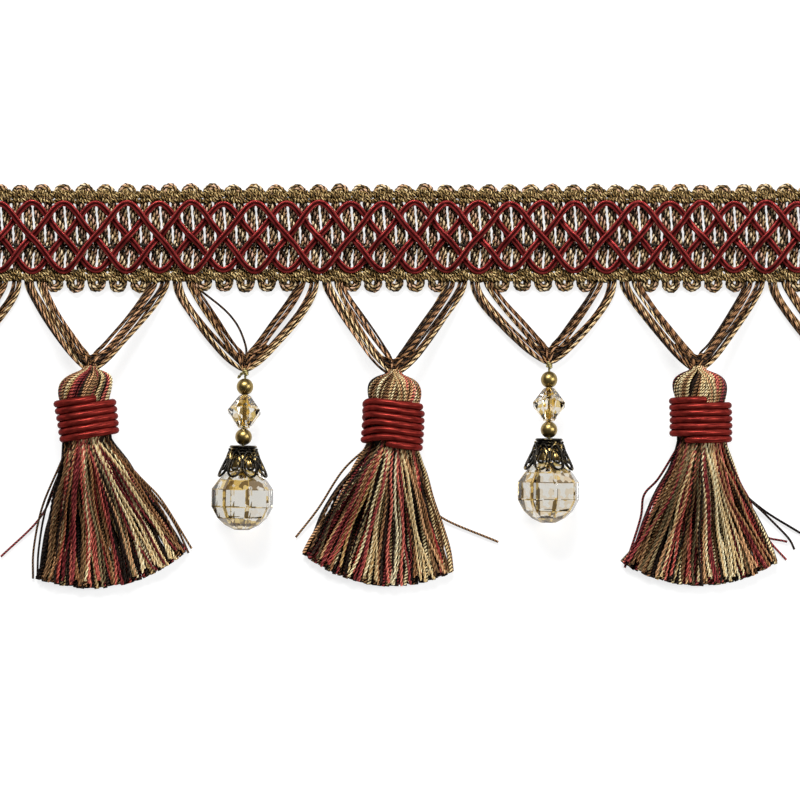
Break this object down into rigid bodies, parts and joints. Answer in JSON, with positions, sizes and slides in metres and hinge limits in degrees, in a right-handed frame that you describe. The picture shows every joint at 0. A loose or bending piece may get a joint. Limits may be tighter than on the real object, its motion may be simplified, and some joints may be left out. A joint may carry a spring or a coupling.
{
  "type": "length of bead and tassel fringe",
  "caption": "Flat cut length of trimming: a ribbed gimp braid with red lattice cords, yarn hangers, tassels with wrapped necks and strung crystal and brass drops.",
  "frame": {"origin": "centre of the heading's flat back, on the surface the fringe lies on", "axes": "+X along the heading, +Y from the hem up to the heading, +Z away from the flat back"},
  "size_m": [0.242, 0.0951, 0.0144],
  "materials": {
    "braid_yarn": "twisted brown, tan and olive-gold yarn",
    "red_gimp": "dark red wound cord",
    "hanger_yarn": "fine brown and gold yarn",
    "skirt_yarn": "two-ply yarns in brown, burgundy, rose, gold and sage",
    "wrap_cord": "glossy dark red cord",
    "antique_brass": "satin antique brass",
    "dark_filigree": "blackened brass with rubbed high spots",
    "champagne_crystal": "polished champagne crystal, flat cut facets",
    "tying_thread": "olive thread"
  },
  "bodies": {
    "root": {"heading": "braid_yarn", "lattice_cord_1": "red_gimp", "lattice_cord_2": "red_gimp", "lattice_cord_3": "red_gimp", "lattice_cord_4": "red_gimp", "tassel_1": "skirt_yarn", "tassel_1_wrap": "wrap_cord", "tassel_1_leg_left": "hanger_yarn", "tassel_1_leg_right": "hanger_yarn", "tassel_2": "skirt_yarn", "tassel_2_wrap": "wrap_cord", "tassel_2_leg_left": "hanger_yarn", "tassel_2_leg_right": "hanger_yarn", "tassel_3": "skirt_yarn", "tassel_3_wrap": "wrap_cord", "tassel_3_leg_left": "hanger_yarn", "tassel_3_leg_right": "hanger_yarn", "drop_1_leg_left": "hanger_yarn", "drop_1_leg_right": "hanger_yarn", "drop_1_thread": "tying_thread", "drop_1_brass_upper": "antique_brass", "drop_1_bicone": "champagne_crystal", "drop_1_brass_lower": "antique_brass", "drop_1_cap": "dark_filigree", "drop_1_ball": "champagne_crystal", "drop_2_leg_left": "hanger_yarn", "drop_2_leg_right": "hanger_yarn", "drop_2_thread": "tying_thread", "drop_2_brass_upper": "antique_brass", "drop_2_bicone": "champagne_crystal", "drop_2_brass_lower": "antique_brass", "drop_2_cap": "dark_filigree", "drop_2_ball": "champagne_crystal", "drop_3_leg_left": "hanger_yarn", "drop_3_leg_right": "hanger_yarn", "drop_3_thread": "tying_thread", "drop_3_brass_upper": "antique_brass", "drop_3_bicone": "champagne_crystal", "drop_3_brass_lower": "antique_brass", "drop_3_cap": "dark_filigree", "drop_3_ball": "champagne_crystal", "drop_4_leg_left": "hanger_yarn", "drop_4_leg_right": "hanger_yarn", "drop_4_thread": "tying_thread", "drop_4_brass_upper": "antique_brass", "drop_4_bicone": "champagne_crystal", "drop_4_brass_lower": "antique_brass", "drop_4_cap": "dark_filigree", "drop_4_ball": "champagne_crystal"}
  },
  "joints": []
}
